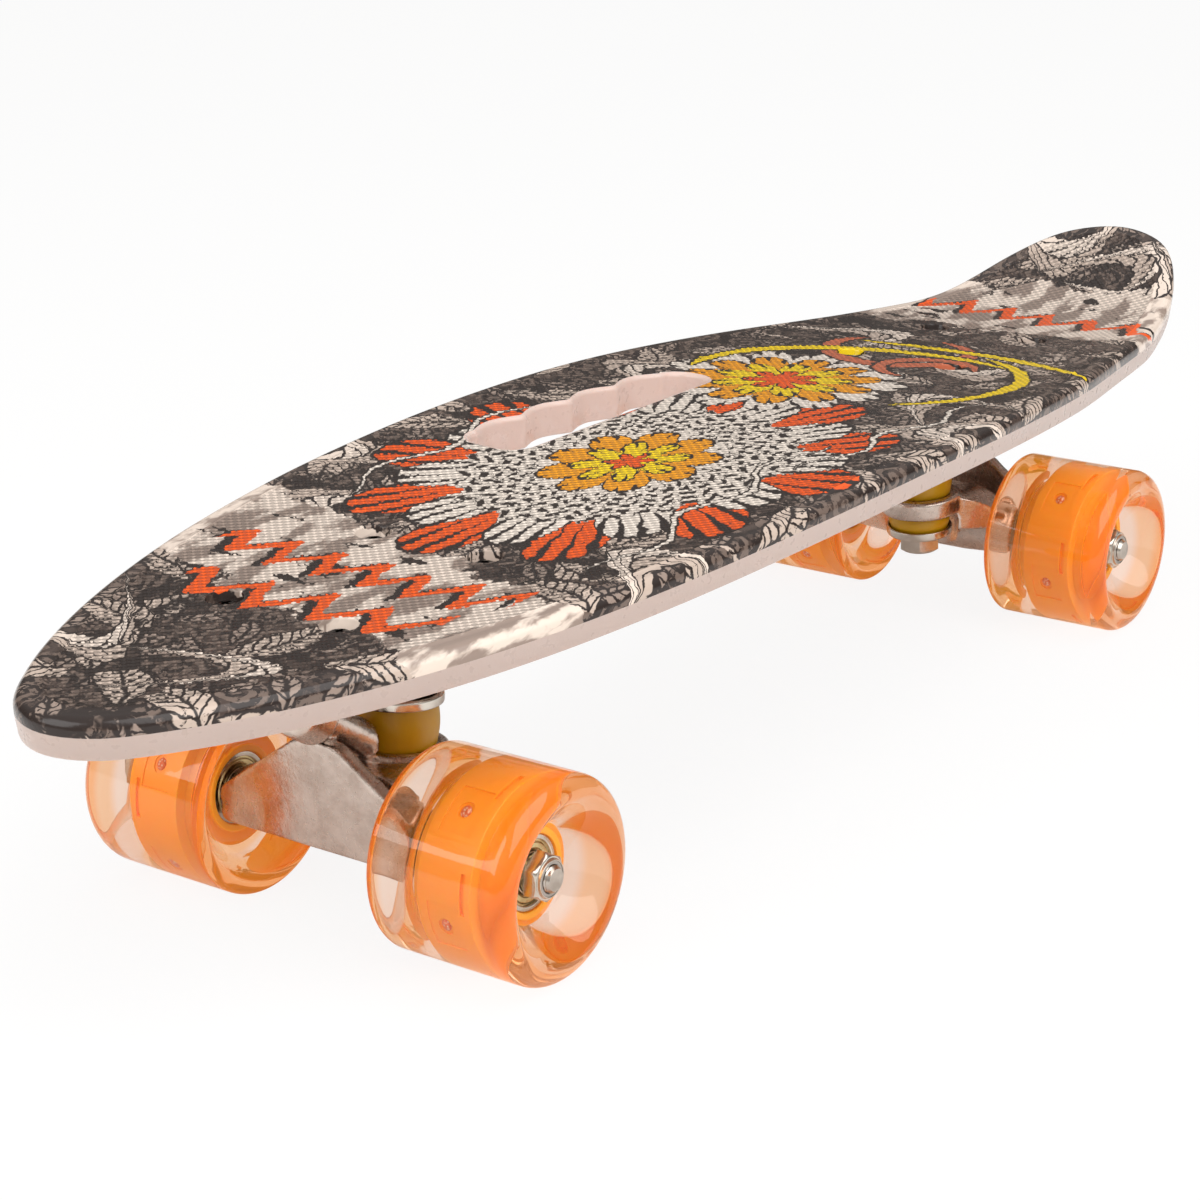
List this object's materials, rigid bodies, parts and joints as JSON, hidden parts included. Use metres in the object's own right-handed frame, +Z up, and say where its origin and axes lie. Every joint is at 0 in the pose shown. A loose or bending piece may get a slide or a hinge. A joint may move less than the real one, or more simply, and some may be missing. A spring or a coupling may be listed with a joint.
{
  "type": "cruiser skateboard",
  "caption": "Small plastic cruiser skateboard with a kicked tail, a carry handle cut into the deck, sprung cast trucks and clear urethane wheels.",
  "frame": {"origin": "on the ground below the middle of the board's bounding box", "axes": "+X towards the nose, +Y towards the rider's left side looking at the nose, +Z up"},
  "size_m": [0.609, 0.1698, 0.1188],
  "materials": {
    "deck_plastic": "printed top film over milky moulded plastic",
    "cast_aluminium": "die cast, tumbled",
    "zinc_steel": "bright zinc plated",
    "dark_screw": "black oxide",
    "bearing_steel": "polished rings with pale gold shields",
    "bushing_urethane": "cast urethane, olive yellow",
    "pivot_cup_plastic": "moulded",
    "clear_urethane": "cast clear urethane, smooth",
    "orange_core": "translucent orange plastic"
  },
  "bodies": {
    "board": {"deck": "deck_plastic", "front_baseplate": "cast_aluminium", "front_pivot_cup": "pivot_cup_plastic", "front_kingpin": "zinc_steel", "front_kingpin_nut": "zinc_steel", "front_boardside_bushing": "bushing_urethane", "front_roadside_bushing": "bushing_urethane", "front_boardside_cup_washer": "zinc_steel", "front_roadside_cup_washer": "zinc_steel", "front_screw_1": "dark_screw", "front_screw_2": "dark_screw", "front_screw_3": "dark_screw", "front_screw_4": "dark_screw", "rear_baseplate": "cast_aluminium", "rear_pivot_cup": "pivot_cup_plastic", "rear_kingpin": "zinc_steel", "rear_kingpin_nut": "zinc_steel", "rear_boardside_bushing": "bushing_urethane", "rear_roadside_bushing": "bushing_urethane", "rear_boardside_cup_washer": "zinc_steel", "rear_roadside_cup_washer": "zinc_steel", "rear_screw_1": "dark_screw", "rear_screw_2": "dark_screw", "rear_screw_3": "dark_screw", "rear_screw_4": "dark_screw"},
    "front_hanger_body": {"front_hanger": "cast_aluminium", "front_axle": "zinc_steel", "front_left_axle_nut": "zinc_steel", "front_right_axle_nut": "zinc_steel", "front_left_outboard_bearing_inner_ring": "bearing_steel", "front_left_inboard_bearing_inner_ring": "bearing_steel", "front_right_outboard_bearing_inner_ring": "bearing_steel", "front_right_inboard_bearing_inner_ring": "bearing_steel"},
    "front_left_wheel": {"front_left_tyre": "clear_urethane", "front_left_wheel_core": "orange_core", "front_left_outboard_bearing_outer_ring": "bearing_steel", "front_left_inboard_bearing_outer_ring": "bearing_steel"},
    "front_right_wheel": {"front_right_tyre": "clear_urethane", "front_right_wheel_core": "orange_core", "front_right_outboard_bearing_outer_ring": "bearing_steel", "front_right_inboard_bearing_outer_ring": "bearing_steel"},
    "rear_hanger_body": {"rear_hanger": "cast_aluminium", "rear_axle": "zinc_steel", "rear_left_axle_nut": "zinc_steel", "rear_right_axle_nut": "zinc_steel", "rear_left_outboard_bearing_inner_ring": "bearing_steel", "rear_left_inboard_bearing_inner_ring": "bearing_steel", "rear_right_outboard_bearing_inner_ring": "bearing_steel", "rear_right_inboard_bearing_inner_ring": "bearing_steel"},
    "rear_left_wheel": {"rear_left_tyre": "clear_urethane", "rear_left_wheel_core": "orange_core", "rear_left_outboard_bearing_outer_ring": "bearing_steel", "rear_left_inboard_bearing_outer_ring": "bearing_steel"},
    "rear_right_wheel": {"rear_right_tyre": "clear_urethane", "rear_right_wheel_core": "orange_core", "rear_right_outboard_bearing_outer_ring": "bearing_steel", "rear_right_inboard_bearing_outer_ring": "bearing_steel"}
  },
  "joints": [
    {"name": "front_steer", "type": "hinge", "parent": "board", "child": "front_hanger_body", "pos_m": [0.20677, 0, 0.06751], "axis": [0.8387, 0, 0.5446], "range_deg": [-15, 15], "stiffness_Nm_per_rad": 25, "deforming": ["front_boardside_bushing", "front_roadside_bushing"]},
    {"name": "front_left_spin", "type": "hinge", "parent": "front_hanger_body", "child": "front_left_wheel", "pos_m": [0.19153, 0.0536, 0.03], "axis": [0, 1, 0], "continuous": true},
    {"name": "front_right_spin", "type": "hinge", "parent": "front_hanger_body", "child": "front_right_wheel", "pos_m": [0.19153, -0.0536, 0.03], "axis": [0, 1, 0], "continuous": true},
    {"name": "rear_steer", "type": "hinge", "parent": "board", "child": "rear_hanger_body", "pos_m": [-0.17571, 0, 0.06751], "axis": [-0.8387, 0, 0.5446], "range_deg": [-15, 15], "stiffness_Nm_per_rad": 25, "deforming": ["rear_boardside_bushing", "rear_roadside_bushing"]},
    {"name": "rear_left_spin", "type": "hinge", "parent": "rear_hanger_body", "child": "rear_left_wheel", "pos_m": [-0.16047, 0.0536, 0.03], "axis": [0, 1, 0], "continuous": true},
    {"name": "rear_right_spin", "type": "hinge", "parent": "rear_hanger_body", "child": "rear_right_wheel", "pos_m": [-0.16047, -0.0536, 0.03], "axis": [0, 1, 0], "continuous": true}
  ]
}
